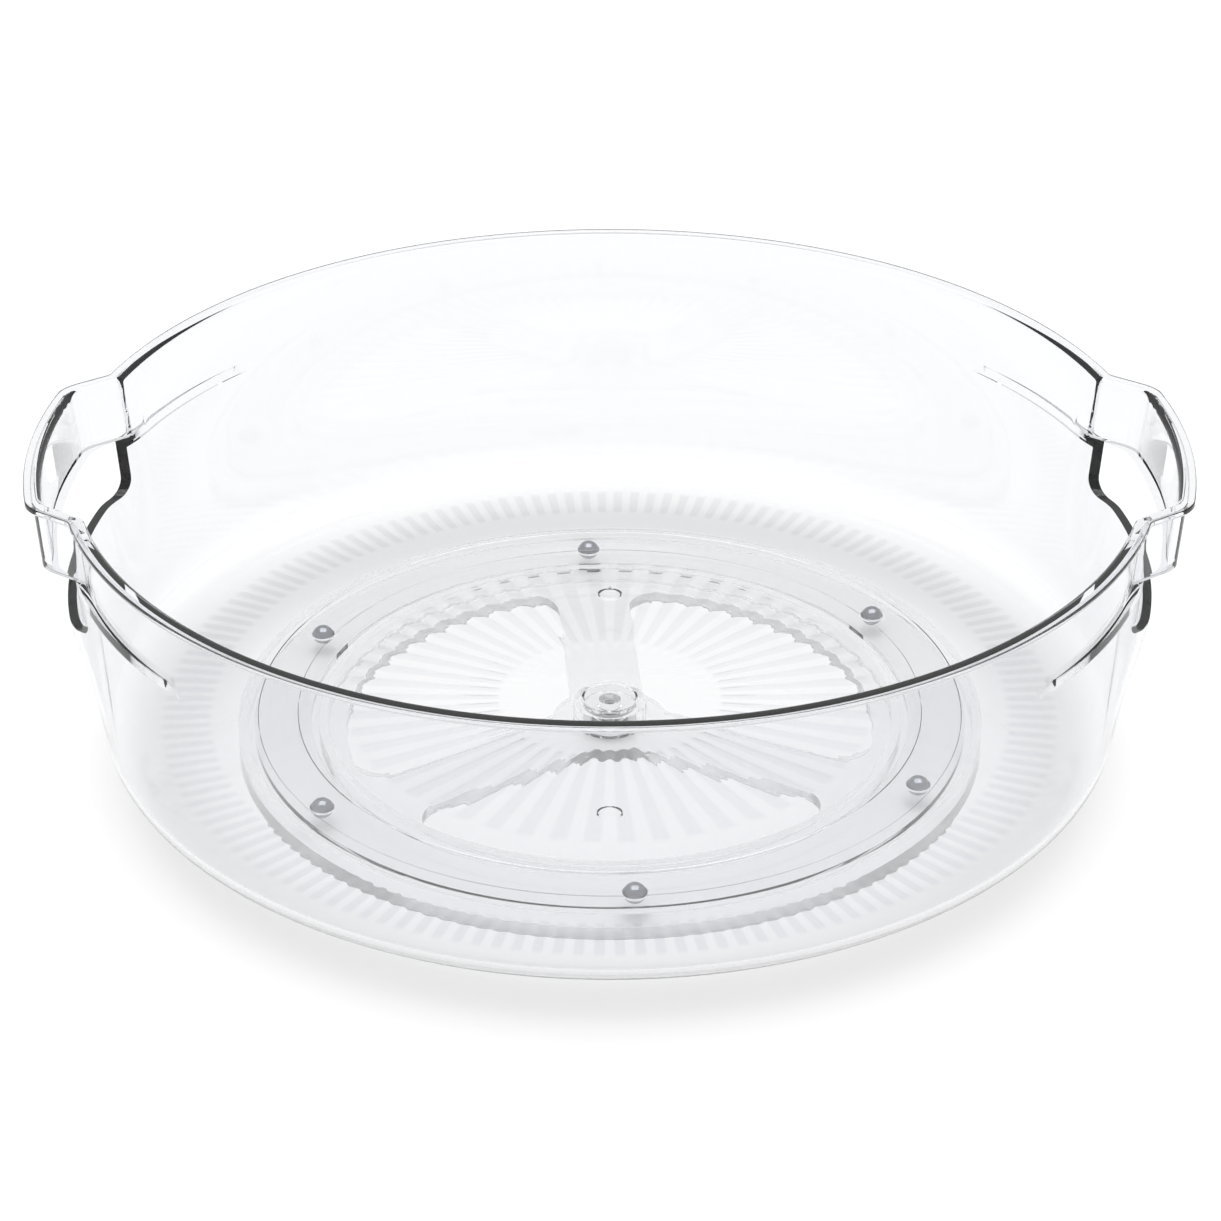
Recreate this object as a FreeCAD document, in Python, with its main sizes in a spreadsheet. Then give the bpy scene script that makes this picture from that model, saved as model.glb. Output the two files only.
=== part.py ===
import FreeCAD, Part
import math
import os
import re

import Sketcher

# Clear storage turntable: a round bin with two strap handles that turns on six steel balls.
# Frame: origin on the supporting surface below the pivot, +Z up, handles along +X and -X.

DIMS = [
    # bin wall and floor; wall_slope is the wall's outward lean per millimetre of height
    ("rim_radius", 146.0), ("rim_height", 89.5), ("rim_lip", 1.6), ("rim_round", 1.5),
    ("wall_thick", 2.4), ("wall_foot_radius", 139.0), ("wall_slope", 0.0627), ("under_height", 9.7),
    ("corner_round", 8.5),
    # race land, pivot boss and the two ejector marks under the floor
    ("race_inner", 86.5), ("race_outer", 97.5), ("race_drop", 0.3), ("boss_radius", 7.4), ("boss_low", 3.5),
    ("mark_radius", 3.3), ("mark_depth", 0.8), ("mark_place", 58.8), ("pad_radius", 13.0),
    # sunburst flutes and the ring of short bars under the floor; share is groove width over pitch
    ("flute_count", 50), ("flute_inner", 31.0), ("flute_outer", 73.0), ("flute_share", 0.46),
    ("flute_depth", 0.5),
    ("bar_count", 150), ("bar_inner", 110.5), ("bar_outer", 124.0), ("bar_share", 0.70),
    ("bar_depth", 0.45),
    # handles: a panel that leaves the wall, a window, and a band with the rim flange above it
    ("grip_radius", 155.5), ("grip_overhang", 2.0), ("grip_lean", 1.3), ("grip_corner", 12.0),
    ("cheek_angle", -34.0), ("cheek_reach", 114.3), ("root_x", 118.0),
    ("panel_low", 18.2), ("panel_low_radius", 139.5), ("panel_top_radius", 149.5), ("panel_corner", 25.0),
    ("panel_cheek_angle", -50.0), ("panel_cheek_reach", 132.1),
    ("window_half", 41.8), ("window_low", 54.0), ("window_high", 71.0), ("window_round", 5.0),
    ("ledge_low", 67.0), ("ledge_high", 70.0), ("ledge_shift", 7.9), ("ledge_end", 41.0),
    # base: a ring with two race walls, three spokes and a hub with a collar
    ("base_under", 0.0), ("base_floor", 3.0), ("base_outer", 103.2), ("race_wall", 2.5),
    ("race_wall_top", 7.8), ("base_inner_wall", 78.4), ("ring_inner", 73.5), ("spoke_count", 3),
    ("spoke_half", 10.2), ("spoke_corner", 8.0), ("window_tip", 14.0), ("hub_radius", 16.0),
    ("collar_outer", 10.2), ("collar_bore", 8.0), ("collar_top", 8.7),
    # balls and cage
    ("ball_radius", 3.175), ("ball_circle", 92.0), ("ball_height", 6.2), ("ball_angle", 94.0),
    ("ball_count", 6), ("cage_inner", 83.0), ("cage_outer", 98.6), ("cage_low", 5.4), ("cage_high", 7.0),
    ("pocket_radius", 3.3),
    # pivot pin and washer
    ("pin_radius", 3.0), ("pin_play", 0.06), ("press_gap", 0.02), ("pin_top", 8.6), ("pin_hollow", 1.4),
    ("pin_hollow_top", 6.5), ("head_radius", 5.6), ("head_seat", 6.0), ("head_low", 1.0),
    ("head_high", 2.0), ("seat_top", 2.05), ("washer_inner", 3.2), ("washer_outer", 7.1),
    ("washer_low", 3.03), ("washer_high", 3.45),
]
ALIASES = {alias for alias, value in DIMS}

ORIGIN = FreeCAD.Vector(0, 0, 0)
UP = FreeCAD.Vector(0, 0, 1)
UPRIGHT = FreeCAD.Placement(ORIGIN, FreeCAD.Rotation(FreeCAD.Vector(1, 0, 0), 90))
FACING_X = FreeCAD.Placement(ORIGIN, FreeCAD.Rotation(FreeCAD.Vector(1, 1, 1), 120))

doc = FreeCAD.newDocument("turntable")
sheet = doc.addObject("Spreadsheet::Sheet", "Dims")
for row, (alias, value) in enumerate(DIMS, start=1):
    sheet.set("A%d" % row, alias)
    sheet.set("B%d" % row, str(value))
    sheet.setAlias("B%d" % row, alias)
doc.recompute()


def expr(text):
    """Prefix every alias in an expression with the sheet's name."""
    return re.sub("[a-z_]+", lambda word: ("Dims." if word.group() in ALIASES else "") + word.group(), text)


def number(text):
    """The value of an expression in the sheet's aliases."""
    return float(FreeCAD.Units.Quantity(str(sheet.evalExpression(expr(text)))).Value)


def bind(item, **sizes):
    """Bind properties of a document object to expressions in the sheet's aliases."""
    for name, text in sizes.items():
        item.setExpression(name.replace("__", "."), expr(text))
    return item


def polar(radius, angle):
    """Expressions for the x and y of a point at a radius and an angle in degrees."""
    return ("(%s) * cos((%s) * 1deg)" % (radius, angle), "(%s) * sin((%s) * 1deg)" % (radius, angle))


# ---- solids ---------------------------------------------------------------------------------

def cylinder(name, radius, low, high, place=("0", "0")):
    item = doc.addObject("Part::Cylinder", name)
    bind(item, Radius=radius, Height="(%s) - (%s)" % (high, low))
    return bind(item, Placement__Base__x=place[0], Placement__Base__y=place[1], Placement__Base__z=low)


def cut(name, base, tool):
    item = doc.addObject("Part::Cut", name)
    item.Base = base
    item.Tool = tool
    return item


def fuse(name, *shapes):
    item = doc.addObject("Part::MultiFuse", name)
    item.Shapes = list(shapes)
    return item


def tube(name, inner, outer, low, high):
    bore = cylinder(name + "_bore", inner, low + " - 1", high + " + 1")
    return cut(name, cylinder(name + "_disc", outer, low, high), bore)


def turned(name, sketch):
    item = doc.addObject("Part::Revolution", name)
    item.Source = sketch
    item.Axis = UP
    item.Angle = 360
    item.Solid = True
    return item


def extruded(name, sketch, direction, length, both_ways=False):
    item = doc.addObject("Part::Extrusion", name)
    item.Base = sketch
    item.DirMode = "Custom"
    item.Dir = direction
    item.Solid = True
    item.Symmetric = both_ways
    return bind(item, LengthFwd=length)


def lofted(name, low_sketch, high_sketch):
    item = doc.addObject("Part::Loft", name)
    item.Sections = [low_sketch, high_sketch]
    item.Solid = True
    item.Ruled = True
    return item


def opposite(name, source):
    """The same shape on the other handle's side."""
    item = doc.addObject("Part::Mirroring", name)
    item.Source = source
    item.Normal = FreeCAD.Vector(1, 0, 0)
    return item


def ring_of(name, cutter, count):
    """Copies of one shape, evenly spaced about the pivot axis, the first pair either side of -Y."""
    doc.recompute()
    copies = []
    for index in range(count):
        copy = cutter.Shape.copy()
        copy.rotate(ORIGIN, UP, -90 + 360.0 * (index + 0.5) / count)
        copies.append(copy)
    item = doc.addObject("Part::Feature", name)
    item.Shape = Part.makeCompound(copies)
    return item


# ---- sketches -------------------------------------------------------------------------------

def hold(sketch, kind, place, name, text):
    """Add a named dimension and bind it to the sheet."""
    value = math.radians(number(text)) if kind == "Angle" else number(text)
    index = sketch.addConstraint(Sketcher.Constraint(kind, *place, value))
    sketch.renameConstraint(index, name)
    sketch.setExpression("Constraints." + name, expr("(%s) * 1deg" % text if kind == "Angle" else text))


def hold_point(sketch, geometry, spot, name, x_text, y_text):
    """Place one point of a sketch, on an axis where its coordinate is 0."""
    for axis, text, kind in ((-2, x_text, "DistanceX"), (-1, y_text, "DistanceY")):
        if text == "0":
            sketch.addConstraint(Sketcher.Constraint("PointOnObject", geometry, spot, axis))
        else:
            hold(sketch, kind, (-1, 1, geometry, spot), name + kind, text)


def profile(name, plane, corners):
    """A closed outline, counterclockwise: each corner is (x, y) or (x, y, round), as expressions."""
    sketch = doc.addObject("Sketcher::SketchObject", name)
    sketch.Placement = plane
    spots = [FreeCAD.Vector(number(corner[0]), number(corner[1]), 0) for corner in corners]
    arrivals = list(spots)
    departures = list(spots)
    centres = {}
    for i, corner in enumerate(corners):
        if len(corner) == 3:
            back = (spots[i - 1] - spots[i]).normalize()
            ahead = (spots[(i + 1) % len(spots)] - spots[i]).normalize()
            half = back.getAngle(ahead) / 2
            reach = number(corner[2]) / math.tan(half)
            arrivals[i] = spots[i] + back * reach
            departures[i] = spots[i] + ahead * reach
            centres[i] = spots[i] + (back + ahead).normalize() * (number(corner[2]) / math.sin(half))
    lines = []
    for i in range(len(spots)):
        lines.append(sketch.addGeometry(Part.LineSegment(departures[i], arrivals[(i + 1) % len(spots)])))
    for i, corner in enumerate(corners):
        before = lines[i - 1]
        after = lines[i]
        if i not in centres:
            sketch.addConstraint(Sketcher.Constraint("Coincident", before, 2, after, 1))
            hold_point(sketch, after, 1, "corner%d" % i, corner[0], corner[1])
            continue
        middle = centres[i]
        start = math.atan2(arrivals[i].y - middle.y, arrivals[i].x - middle.x)
        stop = math.atan2(departures[i].y - middle.y, departures[i].x - middle.x)
        first, last = 1, 2
        if (stop - start) % (2 * math.pi) > math.pi:
            start, stop = stop, start
            first, last = 2, 1
        circle = Part.Circle(middle, UP, number(corner[2]))
        arc = sketch.addGeometry(Part.ArcOfCircle(circle, start, stop))
        apex = sketch.addGeometry(Part.Point(spots[i]), True)
        sketch.addConstraint(Sketcher.Constraint("Tangent", before, 2, arc, first))
        sketch.addConstraint(Sketcher.Constraint("Tangent", arc, last, after, 1))
        sketch.addConstraint(Sketcher.Constraint("PointOnObject", apex, 1, before))
        sketch.addConstraint(Sketcher.Constraint("PointOnObject", apex, 1, after))
        hold_point(sketch, apex, 1, "corner%d" % i, corner[0], corner[1])
        hold(sketch, "Radius", (arc,), "round%d" % i, corner[2])
    return sketch


def fan(name, height, radius, corner, angle, reach, root, turn=0.0):
    """A plan outline, symmetric about +X before the turn: an arc about the pivot, two rounded corners
    and two straight sides, closed by a line at x = root. angle is the upper side's direction going
    outwards, and reach is that side's signed distance from the pivot along its normal."""
    sketch = doc.addObject("Sketcher::SketchObject", name)
    sketch.Placement = FreeCAD.Placement(ORIGIN, FreeCAD.Rotation(UP, turn))
    bind(sketch, Placement__Base__z=height)
    slope = math.radians(number(angle))
    along = FreeCAD.Vector(math.cos(slope), math.sin(slope), 0)
    normal = FreeCAD.Vector(-math.sin(slope), math.cos(slope), 0)
    corner_reach = number(reach) - number(corner)
    corner_orbit = number(radius) - number(corner)
    middle = normal * corner_reach + along * math.sqrt(corner_orbit ** 2 - corner_reach ** 2)
    on_arc = math.atan2(middle.y, middle.x)
    on_side = math.atan2(normal.y, normal.x)
    side_out = middle + normal * number(corner)
    root_half = "((%s) + sin((%s) * 1deg) * (%s)) / cos((%s) * 1deg)" % (reach, angle, root, angle)
    side_in = FreeCAD.Vector(number(root), number(root_half), 0)
    below = [FreeCAD.Vector(spot.x, -spot.y, 0) for spot in (side_in, side_out, middle)]

    main = sketch.addGeometry(Part.ArcOfCircle(Part.Circle(ORIGIN, UP, number(radius)), -on_arc, on_arc))
    upper = sketch.addGeometry(Part.ArcOfCircle(Part.Circle(middle, UP, number(corner)), on_arc, on_side))
    side = sketch.addGeometry(Part.LineSegment(side_out, side_in))
    close = sketch.addGeometry(Part.LineSegment(side_in, below[0]))
    low_side = sketch.addGeometry(Part.LineSegment(below[0], below[1]))
    low_round = Part.Circle(below[2], UP, number(corner))
    lower = sketch.addGeometry(Part.ArcOfCircle(low_round, -on_side, -on_arc))
    for constraint in (("Coincident", main, 3, -1, 1), ("Tangent", main, 2, upper, 1),
                       ("Tangent", upper, 2, side, 1), ("Coincident", side, 2, close, 1),
                       ("Coincident", close, 2, low_side, 1), ("Tangent", low_side, 2, lower, 1),
                       ("Tangent", lower, 2, main, 1), ("Symmetric", side, 2, low_side, 1, -1),
                       ("Symmetric", upper, 3, lower, 3, -1)):
        sketch.addConstraint(Sketcher.Constraint(*constraint))
    hold(sketch, "Radius", (main,), "arc", radius)
    hold(sketch, "Radius", (upper,), "corner", corner)
    hold(sketch, "Angle", (side,), "slope", "180 + (%s)" % angle)
    hold_point(sketch, side, 2, "root", root, root_half)
    return sketch


# ---- bin ------------------------------------------------------------------------------------

FLOOR_TOP = "under_height + wall_thick"


def wall_at(height):
    """The wall's outer radius at a height."""
    return "wall_foot_radius + wall_slope * ((%s) - under_height)" % height


def inner_wall_at(height):
    return wall_at(height) + " - wall_thick"


def handle_outside():
    """Panel, band and rim flange of the handle on +X, as solid blocks."""
    side = ("cheek_angle", "cheek_reach - grip_overhang", "root_x")
    panel_side = ("panel_cheek_angle", "panel_cheek_reach", "root_x")
    panel = lofted("panel",
                   fan("panel_foot_outline", "panel_low", "panel_low_radius", "panel_corner", *panel_side),
                   fan("panel_head_outline", "window_high", "panel_top_radius", "panel_corner", *panel_side))
    band_radius = "grip_radius - grip_overhang"
    band_corner = "grip_corner - grip_overhang"
    band = lofted("band",
                  fan("band_foot_outline", "window_high", band_radius + " - grip_lean", band_corner, *side),
                  fan("band_head_outline", "rim_height", band_radius, band_corner, *side))
    flange = fan("flange_outline", "rim_height - rim_lip", "grip_radius", "grip_corner",
                 "cheek_angle", "cheek_reach", "root_x")
    return fuse("handle", panel, band, extruded("flange", flange, UP, "rim_lip"))


def handle_inside():
    """The hollow of the same handle, one wall thickness inside it, open at the top."""
    side = ("cheek_angle", "cheek_reach - grip_overhang - wall_thick", "root_x")
    panel_side = ("panel_corner - wall_thick", "panel_cheek_angle",
                  "panel_cheek_reach - wall_thick", "root_x")
    panel = lofted("panel_hollow",
                   fan("panel_foot_inline", "panel_low", "panel_low_radius - wall_thick", *panel_side),
                   fan("panel_head_inline", "window_high", "panel_top_radius - wall_thick", *panel_side))
    band_radius = "grip_radius - grip_overhang - wall_thick"
    band_corner = "grip_corner - grip_overhang - wall_thick"
    band = lofted("band_hollow",
                  fan("band_foot_inline", "window_high", band_radius + " - grip_lean", band_corner, *side),
                  fan("band_head_inline", "rim_height + 1", band_radius, band_corner, *side))
    return fuse("handle_hollow", panel, band)


def ledge():
    """The thin crescent that runs round the wall from the handle and fades out at ledge_end."""
    reach = "%s - ledge_shift * cos(ledge_end * 1deg)" % wall_at("ledge_high")
    return cylinder("ledge", reach, "ledge_low", "ledge_high", ("ledge_shift", "0"))


def groove(name, inner, outer, share, depth, count):
    """A cone lying along +X whose top line is level, one depth above the underside of the floor. Its
    width where it meets the underside is the given share of the pitch all along."""
    half_width = "(%s) * (%s) * 180deg / (%s) * pi / 180deg"
    radii = []
    for end in (inner, outer):
        half = half_width % (share, end, count)
        radii.append("((%s)^2 + %s^2) / (2 * %s)" % (half, depth, depth))
    item = doc.addObject("Part::Cone", name)
    tilt = "atan(((%s) - (%s)) / (%s - %s))" % (radii[1], radii[0], outer, inner)
    item.Placement = FreeCAD.Placement(ORIGIN, FreeCAD.Rotation(FreeCAD.Vector(0, 1, 0), 90))
    bind(item, Radius1=radii[0], Radius2=radii[1], Height="%s - %s" % (outer, inner))
    bind(item, Placement__Rotation__Angle="90deg + " + tilt)
    base_height = "under_height + %s - (%s)" % (depth, radii[0])
    return bind(item, Placement__Base__x=inner, Placement__Base__z=base_height)


bin_outline = profile("bin_outline", UPRIGHT, [
    ("0", "boss_low"),
    ("boss_radius", "boss_low"),
    ("boss_radius", "under_height"),
    ("race_inner", "under_height"),
    ("race_inner", "under_height - race_drop"),
    ("race_outer", "under_height - race_drop"),
    ("race_outer", "under_height"),
    ("wall_foot_radius", "under_height", "corner_round"),
    (wall_at("rim_height - rim_lip"), "rim_height - rim_lip"),
    ("rim_radius", "rim_height - rim_lip"),
    ("rim_radius", "rim_height"),
    ("0", "rim_height"),
])
hollow_outline = profile("hollow_outline", UPRIGHT, [
    ("0", FLOOR_TOP),
    (inner_wall_at(FLOOR_TOP), FLOOR_TOP, "corner_round - wall_thick"),
    (inner_wall_at("rim_height"), "rim_height", "rim_round"),
    ("rim_radius + 2", "rim_height"),
    ("rim_radius + 2", "rim_height + 2"),
    ("0", "rim_height + 2"),
])
window_outline = profile("window_outline", FACING_X, [
    ("0 - window_half", "window_low", "window_round"),
    ("window_half", "window_low", "window_round"),
    ("window_half", "window_high"),
    ("0 - window_half", "window_high"),
])

handle = handle_outside()
handle_hollow = handle_inside()
ledge_right = ledge()
bin_block = fuse("bin_block", turned("bin_body", bin_outline), handle, opposite("handle_left", handle),
                 ledge_right, opposite("ledge_left", ledge_right))
bin_hollow = fuse("bin_hollow", turned("bin_inside", hollow_outline), handle_hollow,
                  opposite("handle_hollow_left", handle_hollow))
windows = extruded("windows", window_outline, FreeCAD.Vector(1, 0, 0), "3 * grip_radius", both_ways=True)
bin_shell = cut("bin_open", cut("bin_shell", bin_block, bin_hollow), windows)

flute = groove("flute", "flute_inner", "flute_outer", "flute_share", "flute_depth", "flute_count")
bar = groove("bar", "bar_inner", "bar_outer", "bar_share", "bar_depth", "bar_count")
pads = []
marks = []
for name, place in (("back", "mark_place"), ("front", "0 - mark_place")):
    low = "under_height - 1"
    pads.append(cylinder("pad_" + name, "pad_radius", low, "under_height + 1", ("0", place)))
    marks.append(cylinder("mark_" + name, "mark_radius", low, "under_height + mark_depth", ("0", place)))
flutes = cut("flutes", ring_of("flute_ring", flute, int(number("flute_count"))), fuse("pads", *pads))
bars = ring_of("bar_ring", bar, int(number("bar_count")))
pin_socket = cylinder("pin_socket", "pin_radius + press_gap", "boss_low - 1", "pin_top + press_gap")
bin_with_flutes = cut("bin_with_flutes", bin_shell, flutes)
bin_with_bars = cut("bin_with_bars", bin_with_flutes, bars)
tub = cut("tub", bin_with_bars, fuse("floor_recesses", pin_socket, *marks))

# ---- base -----------------------------------------------------------------------------------

plate = cylinder("plate", "base_outer", "base_under", "base_floor")
plate_windows = []
half_gap = 180.0 / number("spoke_count")
for index in range(int(number("spoke_count"))):
    turn = number("ball_angle") + half_gap * (2 * index + 1)
    outline = fan("plate_window_outline%d" % (index + 1), "base_under - 1", "ring_inner", "spoke_corner",
                  str(half_gap), "0 - spoke_half", "window_tip", turn)
    depth = "base_floor - base_under + 2"
    plate_windows.append(extruded("plate_window%d" % (index + 1), outline, UP, depth))
wheel = cut("wheel", plate, fuse("plate_windows", *plate_windows))
root = "base_floor - 1"
inner_race = tube("inner_race", "base_inner_wall", "base_inner_wall + race_wall", root, "race_wall_top")
outer_race = tube("outer_race", "base_outer - race_wall", "base_outer", root, "race_wall_top")
collar = tube("collar", "collar_bore", "collar_outer", root, "collar_top")
hub = cylinder("hub", "hub_radius", "base_under", "base_floor")
base_block = fuse("base_block", wheel, hub, inner_race, outer_race, collar)
base_recesses = [
    cylinder("pin_bore", "pin_radius + pin_play", "base_under - 1", "base_floor + 1"),
    cylinder("head_recess", "head_seat", "base_under - 1", "seat_top"),
]
base = cut("base", base_block, fuse("base_recesses", *base_recesses))

# ---- ball race ------------------------------------------------------------------------------

balls = []
pockets = []
for index in range(int(number("ball_count"))):
    place = polar("ball_circle", "ball_angle + %g" % (360.0 * index / number("ball_count")))
    ball = doc.addObject("Part::Sphere", "ball_%d" % (index + 1))
    bind(ball, Radius="ball_radius")
    balls.append(bind(ball, Placement__Base__x=place[0], Placement__Base__y=place[1],
                      Placement__Base__z="ball_height"))
    pockets.append(cylinder("pocket%d" % (index + 1), "pocket_radius",
                            "cage_low - 1", "cage_high + 1", place))
cage_ring = tube("cage_ring", "cage_inner", "cage_outer", "cage_low", "cage_high")
ball_cage = cut("ball_cage", cage_ring, fuse("pockets", *pockets))

# ---- pivot ----------------------------------------------------------------------------------

pin_outline = profile("pin_outline", UPRIGHT, [
    ("pin_hollow", "head_low"),
    ("head_radius", "head_low"),
    ("head_radius", "head_high"),
    ("pin_radius", "head_high"),
    ("pin_radius", "pin_top"),
    ("0", "pin_top"),
    ("0", "pin_hollow_top"),
    ("pin_hollow", "pin_hollow_top"),
])
pivot_pin = turned("pivot_pin", pin_outline)
thrust_washer = tube("thrust_washer", "washer_inner", "washer_outer", "washer_low", "washer_high")

# ---- checks and export ----------------------------------------------------------------------

nodes = {"bin": tub, "base": base, "ball_cage": ball_cage, "pivot_pin": pivot_pin,
         "thrust_washer": thrust_washer}
for index, ball in enumerate(balls, start=1):
    nodes["ball_%d" % index] = ball

doc.recompute()
for item in doc.Objects:
    if "Invalid" in item.State or "Error" in item.State:
        raise RuntimeError("%s failed: %s" % (item.Name, item.State))
for name, item in nodes.items():
    item.Label = name
    if item.Shape.isNull() or not item.Shape.isValid() or len(item.Shape.Solids) != 1:
        raise RuntimeError("%s is not one valid solid" % name)

os.makedirs("parts", exist_ok=True)
for name, item in nodes.items():
    item.Shape.exportStep(os.path.join("parts", name + ".step"))
    box = item.Shape.BoundBox
    print("%-14s %9.1f mm3  x %.2f..%.2f  y %.2f..%.2f  z %.3f..%.3f" % (
        name, item.Shape.Volume, box.XMin, box.XMax, box.YMin, box.YMax, box.ZMin, box.ZMax))
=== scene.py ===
import math

import bmesh
import bpy
import numpy as np
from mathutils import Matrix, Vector


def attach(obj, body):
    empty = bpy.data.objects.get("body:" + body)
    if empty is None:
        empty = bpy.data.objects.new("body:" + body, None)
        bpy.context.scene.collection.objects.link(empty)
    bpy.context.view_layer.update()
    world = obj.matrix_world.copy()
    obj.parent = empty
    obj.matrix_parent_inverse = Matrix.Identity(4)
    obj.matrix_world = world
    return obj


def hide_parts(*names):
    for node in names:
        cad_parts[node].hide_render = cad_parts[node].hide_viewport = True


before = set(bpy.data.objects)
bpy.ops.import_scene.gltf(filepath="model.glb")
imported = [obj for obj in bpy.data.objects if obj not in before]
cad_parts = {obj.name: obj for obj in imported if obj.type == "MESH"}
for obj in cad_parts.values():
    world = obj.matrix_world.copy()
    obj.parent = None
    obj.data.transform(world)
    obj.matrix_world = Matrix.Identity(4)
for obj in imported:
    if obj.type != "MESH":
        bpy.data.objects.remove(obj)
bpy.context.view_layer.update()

MM = 0.001
FLOOR_GAP = 1.2 * MM


# ---- camera, floor and light ----------------------------------------------------------------

def add_camera():
    """The camera that was solved on the photograph's rim, base ring and handles."""
    data = bpy.data.cameras.new("camera")
    data.lens = 105.99
    data.sensor_width = 36.0
    camera = bpy.data.objects.new("camera", data)
    camera.location = Vector((0.2, -860.0, 522.0)) * MM
    camera.rotation_euler = (math.radians(60.67), 0, 0)
    bpy.context.scene.collection.objects.link(camera)
    bpy.context.scene.camera = camera


def add_floor():
    """White paper, a little below the base, whose clear underside renders grey where the two touch."""
    bpy.ops.mesh.primitive_plane_add(size=12.0, location=(0, 0, -FLOOR_GAP))
    floor = bpy.context.object
    floor.name = "floor"
    material = bpy.data.materials.new("floor_paper")
    material.use_nodes = True
    shader = material.node_tree.nodes["Principled BSDF"]
    shader.inputs["Base Color"].default_value = (0.90, 0.90, 0.90, 1)
    shader.inputs["Roughness"].default_value = 0.9
    shader.inputs["Specular IOR Level"].default_value = 0.0
    floor.data.materials.append(material)


def add_world(sky, horizon):
    """Soft, nearly even studio white; the horizon is a little brighter and cooler than overhead."""
    world = bpy.data.worlds.new("studio")
    world.use_nodes = True
    tree = world.node_tree
    background = tree.nodes["Background"]
    place = tree.nodes.new("ShaderNodeTexCoord")
    split = tree.nodes.new("ShaderNodeSeparateXYZ")
    shades = tree.nodes.new("ShaderNodeValToRGB")
    tree.links.new(place.outputs["Generated"], split.inputs[0])
    tree.links.new(split.outputs["Z"], shades.inputs[0])
    tree.links.new(shades.outputs[0], background.inputs["Color"])
    shades.color_ramp.elements[0].position = 0.05
    shades.color_ramp.elements[0].color = (horizon, horizon, horizon * 1.02, 1)
    shades.color_ramp.elements[1].position = 0.42
    shades.color_ramp.elements[1].color = (sky, sky, sky, 1)
    bpy.context.scene.world = world


def add_softbox(name, place, target, size, watts):
    data = bpy.data.lights.new(name, "AREA")
    data.shape = "RECTANGLE"
    data.size = size[0]
    data.size_y = size[1]
    data.energy = watts
    lamp = bpy.data.objects.new(name, data)
    lamp.location = place
    lamp.rotation_euler = (Vector(target) - Vector(place)).to_track_quat("-Z", "Y").to_euler()
    bpy.context.scene.collection.objects.link(lamp)


# ---- the bin's moulding ---------------------------------------------------------------------
# One closed surface in polar columns about the pivot axis, in millimetres. It has the CAD's sizes,
# except that the grooves under the floor are shallower and the handle panels blend in more softly.
# Rows run from the pin's socket outwards under the floor, up the outside, over the rim and down the
# inside. The handles are at +X and -X. A cheek is (distance from the axis, angle of its normal from
# the handle's middle). A start or an end is the two radii between which a shape begins or stops.

COLUMNS = 1200
PHI = np.arange(COLUMNS) * (2 * np.pi / COLUMNS)
FROM_HANDLE = np.arcsin(np.abs(np.sin(PHI)))  # angle from the nearer handle's middle
ONES = np.ones(COLUMNS)

WALL_THICK = 2.4
UNDER = 9.7
FLOOR_TOP = UNDER + WALL_THICK
WALL_FOOT = 139.0
WALL_SLOPE = 0.0627
CORNER_ROUND = 8.5
RIM_TOP = 89.5
RIM_LIP = 1.6
RIM_LIP_START = 0.3
RIM_RADIUS = 146.0
RIM_ROUND = 1.5
EDGE_ROUND = 0.35
GRIP_RADIUS = 155.46
GRIP_OVERHANG = 2.0
GRIP_LEAN = 1.3
HANDLE_BLEND = 3.0
RIM_BLEND = 3.6
CREASE_BLEND = 0.8
CHEEK = (114.3, math.radians(56.0))
PANEL_CHEEK = (132.1, math.radians(40.0))
PANEL_RADIUS = 146.4
PANEL_START = 18.2
PANEL_FULL = 57.0
WINDOW_HALF = 41.8
WINDOW_LOW = 54.0
WINDOW_HIGH = 71.0
WINDOW_ROUND = 5.0
LEDGE_LOW = 67.0
LEDGE_HIGH = 70.0
LEDGE_SHIFT = 7.9
LEDGE_END = math.radians(41.0)
SEAM = 0.04
SOCKET_RADIUS = 3.02
SOCKET_TOP = 8.62
BOSS_RADIUS = 7.4
BOSS_FOOT = 3.5
MARK_PLACE = 58.8
MARK_DEPTH = 0.6
MARK_END = (3.0, 3.5)
PAD_END = (12.6, 13.6)
FLUTE_COUNT = 50
FLUTE_DEPTH = 0.08
FLUTE_START = (30.6, 31.6)
FLUTE_END = (72.4, 73.4)
RACE_DROP = 0.3
RACE_START = (86.4, 86.6)
RACE_END = (97.4, 97.6)
BAR_COUNT = 150
BAR_DEPTH = 0.05
BAR_START = (110.0, 111.2)
BAR_END = (123.3, 124.5)


def soft_max(a, b, blend):
    """The larger of two, rounded where they cross."""
    share = np.clip(0.5 + 0.5 * (a - b) / blend, 0, 1)
    return b + (a - b) * share + blend * share * (1 - share)


def soft_min(a, b, blend):
    return -soft_max(-a, -b, blend)


def ramp(value, low, high):
    """0 below low, 1 above high, smooth between."""
    share = np.clip((value - low) / (high - low), 0, 1)
    return share * share * (3 - 2 * share)


def outline(radius, cheek, inset, blend):
    """Polar outline of a handle: an arc about the pivot between two straight cheeks."""
    reach, normal = cheek
    side = (reach - inset) / np.cos(normal - np.minimum(FROM_HANDLE, normal))
    return soft_min((radius - inset) * ONES, side, blend)


def wall_at(height):
    """Outer radius of the plain wall, which leans out."""
    return WALL_FOOT + WALL_SLOPE * (height - UNDER)


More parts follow.
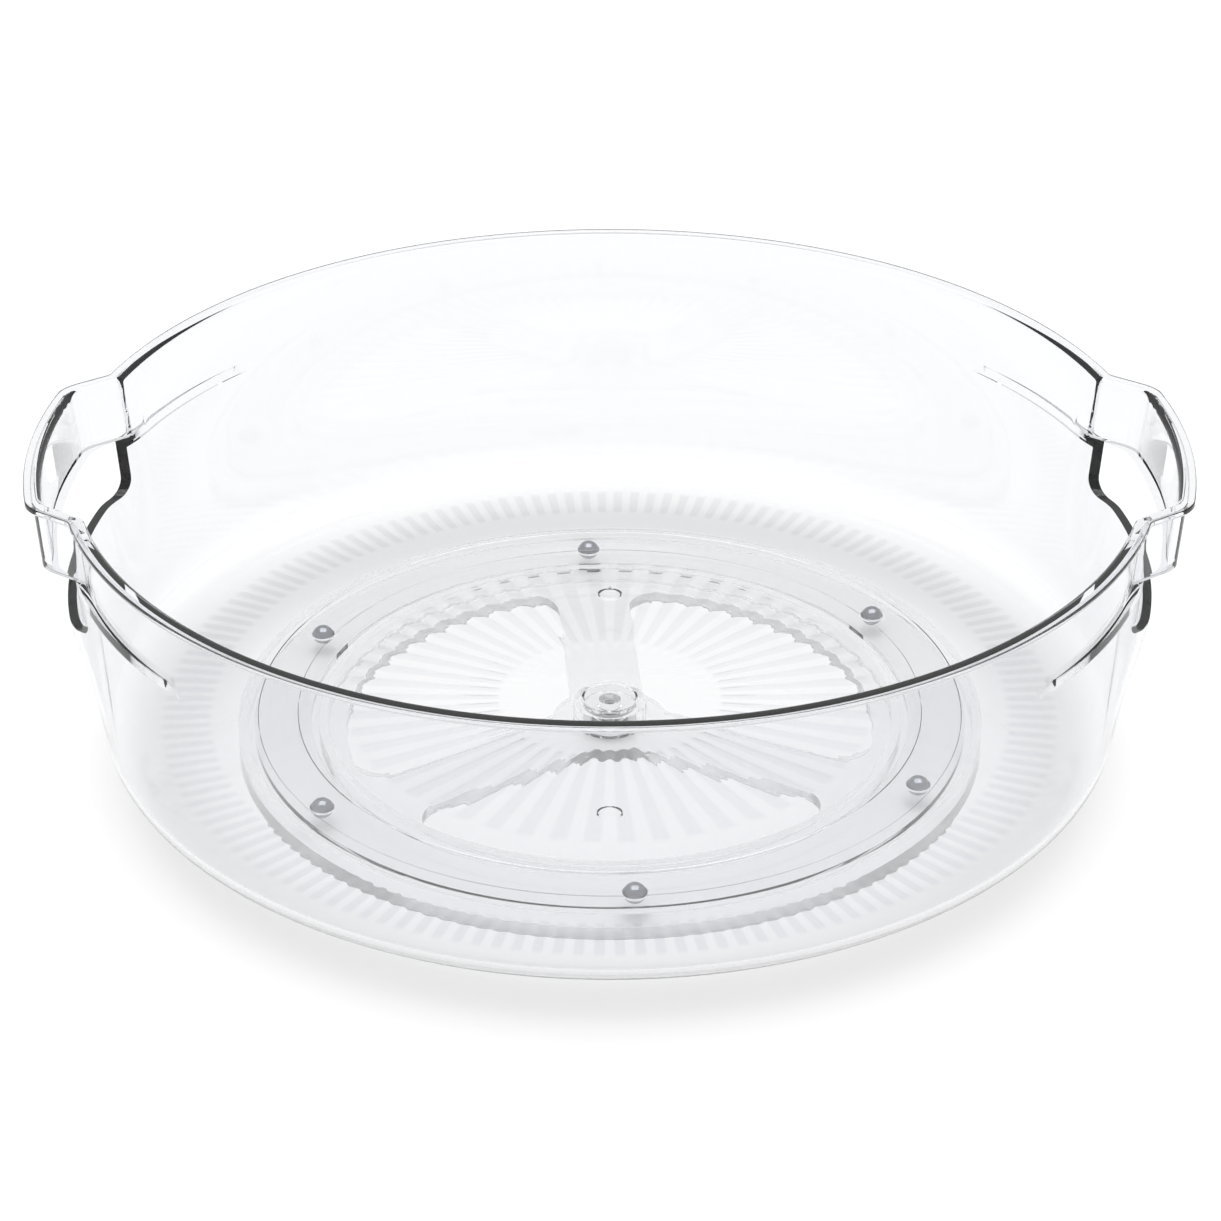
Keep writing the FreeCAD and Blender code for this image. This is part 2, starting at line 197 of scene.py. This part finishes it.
def side_radius(height, inset):
    """The wall, panel or band, moved inwards by inset, at every column."""
    wall = (wall_at(height) - inset) * ONES
    if height < WINDOW_HIGH:
        base = wall_at(WINDOW_LOW) - inset
        panel = outline(PANEL_RADIUS, PANEL_CHEEK, inset, HANDLE_BLEND)
        bulge = soft_max(panel, base * ONES, HANDLE_BLEND) - base
        return wall + bulge * ramp(height, PANEL_START, PANEL_FULL)
    lean = GRIP_LEAN * (RIM_TOP - height) / (RIM_TOP - WINDOW_HIGH)
    cheek = (CHEEK[0] - GRIP_OVERHANG, CHEEK[1])
    band = outline(GRIP_RADIUS - GRIP_OVERHANG - lean, cheek, inset, HANDLE_BLEND)
    return soft_max(band, wall, CREASE_BLEND)


def ledge_radius():
    """A circle moved towards the handle, so that the ledge thins to nothing along the wall."""
    reach = wall_at(LEDGE_HIGH) - LEDGE_SHIFT * math.cos(LEDGE_END)
    along = LEDGE_SHIFT * np.cos(FROM_HANDLE)
    across = LEDGE_SHIFT * np.sin(FROM_HANDLE)
    return along + np.sqrt(reach ** 2 - across ** 2)


def grooves(count, share, soft):
    """1 in a groove and 0 on the ridges between, round the circle; a groove lies either side of -Y."""
    place = ((PHI + np.pi / 2) * count / (2 * np.pi)) % 1.0
    return ramp(share + soft - np.abs(place - 0.5) * 2, 0, 2 * soft)


def underside(radius):
    """Height of the floor's underside along one ring."""
    x = radius * np.cos(PHI)
    y = radius * np.sin(PHI)
    from_mark = np.hypot(x, np.abs(y) - MARK_PLACE)
    flutes = grooves(FLUTE_COUNT, share=0.46, soft=0.34)
    flutes = flutes * ramp(radius, *FLUTE_START) * (1 - ramp(radius, *FLUTE_END))
    bars = grooves(BAR_COUNT, share=0.62, soft=0.30)
    bars = bars * ramp(radius, *BAR_START) * (1 - ramp(radius, *BAR_END))
    height = UNDER + FLUTE_DEPTH * flutes * ramp(from_mark, *PAD_END) + BAR_DEPTH * bars
    height = height + MARK_DEPTH * (1 - ramp(from_mark, *MARK_END))
    return height - RACE_DROP * ramp(radius, *RACE_START) * (1 - ramp(radius, *RACE_END))


def fillet(inset, steps):
    """(radius, height) pairs round the bottom corner, from under the floor to the wall."""
    radius = CORNER_ROUND - inset
    lean = math.atan(WALL_SLOPE)
    middle_z = UNDER + CORNER_ROUND
    meet_z = middle_z - radius * math.sin(lean)
    middle_r = wall_at(meet_z) - inset - radius * math.cos(lean)
    turns = [-math.pi / 2 + (math.pi / 2 - lean) * k / steps for k in range(steps + 1)]
    return [(middle_r + radius * math.cos(turn), middle_z + radius * math.sin(turn)) for turn in turns]


def bin_rows():
    """Every ring of the moulding as (radii, heights), one number a column."""
    rows = []

    def ring(radius, height):
        rows.append((radius * ONES, height * ONES))

    ring(SOCKET_RADIUS, SOCKET_TOP)
    ring(SOCKET_RADIUS, 3.7)
    ring(3.2, BOSS_FOOT)
    ring(7.1, BOSS_FOOT)
    ring(BOSS_RADIUS, 3.8)
    ring(BOSS_RADIUS, 9.3)
    ring(7.8, UNDER)
    under = [15.0, 24.0, 30.6, 31.1, 31.6, 36.0, 42.0, 48.0, 53.0]
    under += [55.0 + 0.3 * k for k in range(26)]
    under += [65.0, 69.0, 72.0, 72.4, 72.9, 73.4, 80.0, 86.4, 86.6, 92.0, 97.4, 97.6, 104.0, 109.0]
    under += [110.0, 110.6, 111.2, 115.0, 119.0, 123.3, 123.9, 124.5, 128.0]
    for radius in under:
        rows.append((radius * ONES, underside(radius)))
    for radius, height in fillet(0, 12):
        ring(radius, height)
    for height in [20 + 2.0 * k for k in range(23)] + [66.0, LEDGE_LOW - SEAM]:
        rows.append((side_radius(height, 0), height * ONES))
    for height in (LEDGE_LOW + SEAM, LEDGE_HIGH - SEAM):
        rows.append((np.maximum(side_radius(height, 0), ledge_radius()), height * ONES))
    for height in (LEDGE_HIGH + SEAM, WINDOW_HIGH - SEAM, WINDOW_HIGH + SEAM, 74.0, 78.0, 82.0, 86.0, 87.6):
        rows.append((side_radius(height, 0), height * ONES))

    rim = soft_max(outline(GRIP_RADIUS, CHEEK, 0, RIM_BLEND), RIM_RADIUS * ONES, CREASE_BLEND)
    lip_under = RIM_TOP - RIM_LIP
    rows.append((side_radius(lip_under, 0) + RIM_LIP_START, lip_under * ONES))
    for step in range(5):
        turn = math.pi / 2 * step / 4
        rows.append((rim - EDGE_ROUND * (1 - math.sin(turn)),
                     ONES * (lip_under + EDGE_ROUND * (1 - math.cos(turn)))))
    for step in range(5):
        turn = math.pi / 2 * step / 4
        rows.append((rim - EDGE_ROUND * (1 - math.cos(turn)),
                     ONES * (RIM_TOP - EDGE_ROUND * (1 - math.sin(turn)))))
    for step in range(7):
        turn = math.pi / 2 * (1 - step / 6)
        drop = RIM_ROUND * (1 - math.sin(turn))
        inner = side_radius(RIM_TOP - drop, WALL_THICK)
        rows.append((inner + RIM_ROUND * (1 - math.cos(turn)), (RIM_TOP - drop) * ONES))
    for height in (86.0, 82.0, 78.0, 74.0, WINDOW_HIGH + SEAM, WINDOW_HIGH - SEAM):
        rows.append((side_radius(height, WALL_THICK), height * ONES))
    for height in [68.0 - 2.0 * k for k in range(25)]:
        rows.append((side_radius(height, WALL_THICK), height * ONES))
    for radius, height in reversed(fillet(WALL_THICK, 10)):
        ring(radius, height)
    for radius in (120.0, 90.0, 60.0, 30.0, 10.0, 3.0):
        ring(radius, FLOOR_TOP)
    return rows


def closed_rings(name, rows, low_height, high_height):
    """A closed mesh object from rings, with a point on the axis at each end."""
    radii = np.array([row[0] for row in rows])
    heights = np.array([row[1] for row in rows])
    points = np.stack([radii * np.cos(PHI), radii * np.sin(PHI), heights], axis=-1).reshape(-1, 3)
    points = np.vstack([points, [[0, 0, low_height], [0, 0, high_height]]]) * MM
    column = np.arange(COLUMNS)
    following = (column + 1) % COLUMNS
    quads = [np.stack([column + k * COLUMNS, following + k * COLUMNS,
                       following + (k + 1) * COLUMNS, column + (k + 1) * COLUMNS], axis=-1)
             for k in range(len(rows) - 1)]
    quads = np.vstack(quads)[:, ::-1]
    first = len(points) - 2
    last_row = (len(rows) - 1) * COLUMNS
    caps = [(first, a, b) for a, b in zip(column, following)]
    caps += [(first + 1, b + last_row, a + last_row) for a, b in zip(column, following)]
    mesh = bpy.data.meshes.new(name)
    mesh.from_pydata(points.tolist(), [], quads.tolist() + [tuple(map(int, cap)) for cap in caps])
    piece = bpy.data.objects.new(name, mesh)
    bpy.context.scene.collection.objects.link(piece)
    return piece


def window_prism():
    """A bar along X with the section of the two handle windows, lower corners rounded."""
    section = [(-WINDOW_HALF, WINDOW_HIGH), (WINDOW_HALF, WINDOW_HIGH)]
    corner = WINDOW_HALF - WINDOW_ROUND
    for centre_y, start in ((corner, 0.0), (-corner, -math.pi / 2)):
        for step in range(9):
            turn = start - math.pi / 2 * step / 8
            section.append((centre_y + WINDOW_ROUND * math.cos(turn),
                            WINDOW_LOW + WINDOW_ROUND + WINDOW_ROUND * math.sin(turn)))
    reach = GRIP_RADIUS + 10
    points = [(x * MM, y * MM, z * MM) for x in (-reach, reach) for y, z in section]
    count = len(section)
    faces = [tuple(range(count)), tuple(reversed(range(count, 2 * count)))]
    faces += [(k, k + count, (k + 1) % count + count, (k + 1) % count) for k in range(count)]
    mesh = bpy.data.meshes.new("window_prism")
    mesh.from_pydata(points, [], faces)
    outward(mesh)
    prism = bpy.data.objects.new("window_prism", mesh)
    bpy.context.scene.collection.objects.link(prism)
    return prism


def outward(mesh):
    """Turn every face of a closed mesh to face out."""
    work = bmesh.new()
    work.from_mesh(mesh)
    bmesh.ops.recalc_face_normals(work, faces=work.faces)
    work.to_mesh(mesh)
    work.free()


def make_bin():
    piece = closed_rings("bin_moulding", bin_rows(), SOCKET_TOP, FLOOR_TOP)
    outward(piece.data)
    prism = window_prism()
    opening = piece.modifiers.new("windows", "BOOLEAN")
    opening.operation = "DIFFERENCE"
    opening.object = prism
    opening.solver = "EXACT"
    bpy.context.view_layer.update()
    graph = bpy.context.evaluated_depsgraph_get()
    cut_mesh = bpy.data.meshes.new_from_object(piece.evaluated_get(graph))
    piece.modifiers.clear()
    piece.data = cut_mesh
    bpy.data.objects.remove(prism)
    cut_mesh.polygons.foreach_set("use_smooth", [True] * len(cut_mesh.polygons))
    cut_mesh.set_sharp_from_angle(angle=math.radians(32))
    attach(piece, "bin")
    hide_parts("bin")
    return piece


# ---- materials ------------------------------------------------------------------------------

def new_material(name):
    material = bpy.data.materials.new(name)
    material.use_nodes = True
    return material, material.node_tree, material.node_tree.nodes["Principled BSDF"]


def calculation(tree, operation, first, second=None):
    """A Math node; each operand is a socket or a number."""
    node = tree.nodes.new("ShaderNodeMath")
    node.operation = operation
    for socket, operand in zip(node.inputs, (first, second)):
        if isinstance(operand, (int, float)):
            socket.default_value = operand
        elif operand is not None:
            tree.links.new(operand, socket)
    return node.outputs[0]


def fade(tree, value, start, end, first=0.0, last=1.0):
    """first at start, last at end, straight in between, level beyond; start may be the larger."""
    node = tree.nodes.new("ShaderNodeMapRange")
    node.inputs["From Min"].default_value = start
    node.inputs["From Max"].default_value = end
    node.inputs["To Min"].default_value = first
    node.inputs["To Max"].default_value = last
    tree.links.new(value, node.inputs["Value"])
    return node.outputs[0]


def noise(tree, scale, detail, place=None):
    """Noise from 0 to 1, over place or, without it, over the piece's own box."""
    node = tree.nodes.new("ShaderNodeTexNoise")
    node.inputs["Scale"].default_value = scale
    node.inputs["Detail"].default_value = detail
    if place is not None:
        tree.links.new(place, node.inputs["Vector"])
    return node.outputs[0]


def add_relief(tree, shader, height, strength, depth):
    """Tilt the surface as if it rose and fell with height, by up to depth in metres."""
    bump = tree.nodes.new("ShaderNodeBump")
    bump.inputs["Strength"].default_value = strength
    bump.inputs["Distance"].default_value = depth
    tree.links.new(height, bump.inputs["Height"])
    tree.links.new(bump.outputs[0], shader.inputs["Normal"])


def cylindrical(tree, place):
    """Distance from the axis, angle round it and height, as sockets."""
    split = tree.nodes.new("ShaderNodeSeparateXYZ")
    tree.links.new(place, split.inputs[0])
    across, along, height = split.outputs
    square = calculation(tree, "ADD", calculation(tree, "MULTIPLY", across, across),
                         calculation(tree, "MULTIPLY", along, along))
    return calculation(tree, "SQRT", square), calculation(tree, "ARCTAN2", along, across), height


def colour_between(tree, share, first, second):
    """A colour that goes from first to second as share goes from 0 to 1."""
    node = tree.nodes.new("ShaderNodeMix")
    node.data_type = "RGBA"
    for socket, colour in ((node.inputs[6], first), (node.inputs[7], second)):
        if isinstance(colour, tuple):
            socket.default_value = (*colour, 1)
        else:
            tree.links.new(colour, socket)
    tree.links.new(share, node.inputs[0])
    return node.outputs[2]


# Painted groove shade: darker strips under the moulded grooves, in place of the light and dark they throw
# by refraction: (how many, inner and outer radius in millimetres, how strongly shaded).
GROOVE_SHADE_STRIPS = ((FLUTE_COUNT, 31.0, 73.0, 0.7), (BAR_COUNT, 110.5, 124.0, 1.0))
STRIP_EDGE = (-0.45, 0.35)  # where a strip begins and is full, on a cosine across the groove
UNDER_FACE = (11.5 * MM, 11.0 * MM)  # strips are under the floor only, not on its top
# Painted shade: the floor's lighter tint up to the first height, the wall's greyer tint from the second.
WALL_PAINTED_SHADE_HEIGHTS = (13 * MM, 24 * MM)
CORNER_RADII = (108 * MM, 122 * MM)
CORNER_HEIGHTS = (30 * MM, 14 * MM)
FROST_HEIGHTS = (0.8 * MM, 0.2 * MM)


def bin_tint_and_painted_shade(tree, place, wall_tint_and_painted_shade, floor_tint_painted_lighter, groove_painted_shade):
    """Painted shade in the colour: the wall a little greyer than the floor, and the moulded grooves under
    the floor darker than the land.
    """
    radius, angle, height = cylindrical(tree, place)
    rings = []
    for count, inner, outer, strength in GROOVE_SHADE_STRIPS:
        wave = calculation(tree, "COSINE", calculation(tree, "MULTIPLY", angle, count))
        strip = calculation(tree, "MULTIPLY", fade(tree, wave, *STRIP_EDGE), strength)
        strip = calculation(tree, "MULTIPLY", strip, fade(tree, radius, (inner - 1) * MM, (inner + 1) * MM))
        strip = calculation(tree, "MULTIPLY", strip, fade(tree, radius, (outer + 1) * MM, (outer - 1) * MM))
        rings.append(strip)
    both = calculation(tree, "ADD", *rings)
    under = calculation(tree, "MULTIPLY", both, fade(tree, height, *UNDER_FACE))
    smooth = colour_between(tree, fade(tree, height, *WALL_PAINTED_SHADE_HEIGHTS), floor_tint_painted_lighter, wall_tint_and_painted_shade)
    # Painted shade: the grooves under the floor darker than the land.
    return colour_between(tree, under, smooth, groove_painted_shade)


def corner_shade(tree, place, let_through, corner_let_through):
    """How much lamplight passes: less round the thick bottom corner, which bends it away."""
    radius, height = cylindrical(tree, place)[::2]
    corner = calculation(tree, "MULTIPLY", fade(tree, radius, *CORNER_RADII),
                         fade(tree, height, *CORNER_HEIGHTS))
    return fade(tree, corner, 0, 1, let_through, corner_let_through)


def clear_plastic(name, tint, let_through, corner_let_through, floor_and_groove_painted_tones=None, frost=0.0):
    """Moulded clear plastic: slow ripples, fine haze, and an underside as rough as frost says.

    Rays that look for a lamp, or that leave a matt surface, pass straight through it, dimmed only by
    corner_shade, so that it throws a soft shadow and no bright patches.
    """
    material, tree, shader = new_material(name)
    shader.inputs["Base Color"].default_value = (*tint, 1)
    shader.inputs["Transmission Weight"].default_value = 1.0
    shader.inputs["IOR"].default_value = 1.5
    place = tree.nodes.new("ShaderNodeTexCoord").outputs["Object"]
    # When floor tints are given, the base colour carries painted shade: the wall greyer than the floor, the
    # grooves under the floor darker.
    if floor_and_groove_painted_tones:
        tree.links.new(bin_tint_and_painted_shade(tree, place, tint, *floor_and_groove_painted_tones), shader.inputs["Base Color"])
    haze = fade(tree, noise(tree, 60.0, 3.0, place), 0, 1, 0.005, 0.02)
    under = fade(tree, cylindrical(tree, place)[2], *FROST_HEIGHTS)
    frosted = calculation(tree, "MULTIPLY", under, frost)
    tree.links.new(calculation(tree, "MAXIMUM", haze, frosted), shader.inputs["Roughness"])
    add_relief(tree, shader, noise(tree, 14.0, 1.0, place), strength=0.03, depth=0.001)
    ray = tree.nodes.new("ShaderNodeLightPath").outputs
    straight_on = calculation(tree, "MAXIMUM", ray["Is Shadow Ray"], ray["Is Diffuse Ray"])
    passing = tree.nodes.new("ShaderNodeBsdfTransparent")
    tree.links.new(corner_shade(tree, place, let_through, corner_let_through), passing.inputs["Color"])
    mix = tree.nodes.new("ShaderNodeMixShader")
    tree.links.new(straight_on, mix.inputs[0])
    tree.links.new(shader.outputs[0], mix.inputs[1])
    tree.links.new(passing.outputs[0], mix.inputs[2])
    tree.links.new(mix.outputs[0], tree.nodes["Material Output"].inputs["Surface"])
    return material


def polished_steel():
    material, tree, shader = new_material("polished_steel")
    shader.inputs["Metallic"].default_value = 1.0
    shader.inputs["Base Color"].default_value = (0.30, 0.31, 0.33, 1)
    scuffed = fade(tree, noise(tree, 900.0, 4.0), 0, 1, 0.04, 0.16)
    tree.links.new(scuffed, shader.inputs["Roughness"])
    return material


def satin_acetal():
    material, tree, shader = new_material("satin_acetal")
    shader.inputs["Base Color"].default_value = (0.78, 0.79, 0.80, 1)
    shader.inputs["Roughness"].default_value = 0.4
    add_relief(tree, shader, noise(tree, 1500.0, 2.0), strength=0.1, depth=0.0001)
    return material


def paint(names, material):
    """Give the CAD pieces of these names the material, in every slot."""
    for name in names:
        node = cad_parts[name]
        for index in range(len(node.material_slots)):
            node.material_slots[index].material = material


ball_names = [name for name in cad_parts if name.startswith("ball_") and name != "ball_cage"]

add_camera()
add_floor()
add_world(sky=0.77, horizon=0.80)
add_softbox("overhead", place=(0.0, 0.18, 2.2), target=(0, 0, 0), size=(2.4, 2.0), watts=31)
bpy.context.scene.view_settings.view_transform = "Standard"

# The bin's colour carries painted shade: the wall greyer than the floor, the grooves under the floor
# darker.
make_bin().data.materials.append(clear_plastic(
    "bin_plastic", (0.888, 0.896, 0.912), let_through=0.97, corner_let_through=0.82,
    floor_and_groove_painted_tones=((0.968, 0.972, 0.980), (0.77, 0.785, 0.815))))
paint(["base", "ball_cage"], clear_plastic(
    "base_plastic", (0.990, 0.992, 0.996), let_through=1.0, corner_let_through=1.0, frost=0.35))
paint(["pivot_pin"], clear_plastic(
    "pin_plastic", (0.96, 0.97, 0.98), let_through=0.95, corner_let_through=0.95))
paint(ball_names, polished_steel())
paint(["thrust_washer"], satin_acetal())
